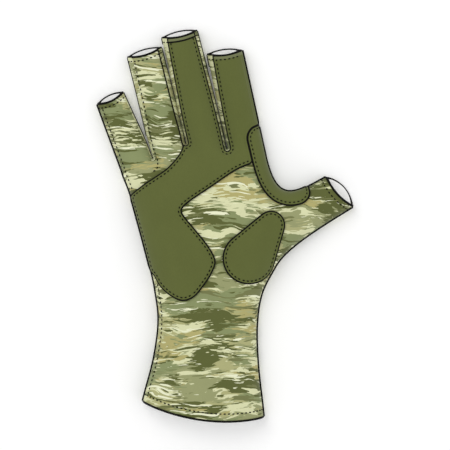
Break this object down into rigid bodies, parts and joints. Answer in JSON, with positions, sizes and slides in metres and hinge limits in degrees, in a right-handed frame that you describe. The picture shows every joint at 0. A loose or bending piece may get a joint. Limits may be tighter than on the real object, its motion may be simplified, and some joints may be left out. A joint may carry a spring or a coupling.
{
  "type": "fingerless fishing glove",
  "caption": "Fingerless right-hand glove with a long cuff, sewn from thin knit cloth with padded patches on the palm, at the thumb's root and along the web.",
  "frame": {"origin": "middle of the glove's box, on the surface that it lies on", "axes": "+Y from the cuff to the fingertips, +Z out of the palm, +X towards the thumb's side; the glove lies on its back"},
  "size_m": [0.1634, 0.2494, 0.0233],
  "materials": {
    "knit_cloth": "fine smooth knit, printed with camouflage in olive, sage, khaki and cream",
    "patch_suede": "matt olive synthetic suede",
    "hem_lining": "unprinted white side of the knit",
    "thread": "black sewing thread with a slight sheen"
  },
  "bodies": {
    "root": {"palm_panel": "knit_cloth", "back_panel": "knit_cloth", "gusset_little_ring": "knit_cloth", "gusset_ring_middle": "knit_cloth", "gusset_middle_index": "knit_cloth", "hem_little": "hem_lining", "hem_ring": "hem_lining", "hem_middle": "hem_lining", "hem_index": "hem_lining", "hem_thumb": "hem_lining", "hem_cuff": "hem_lining", "palm_patch": "patch_suede", "thumb_pad": "patch_suede", "web_patch": "patch_suede"}
  },
  "joints": []
}
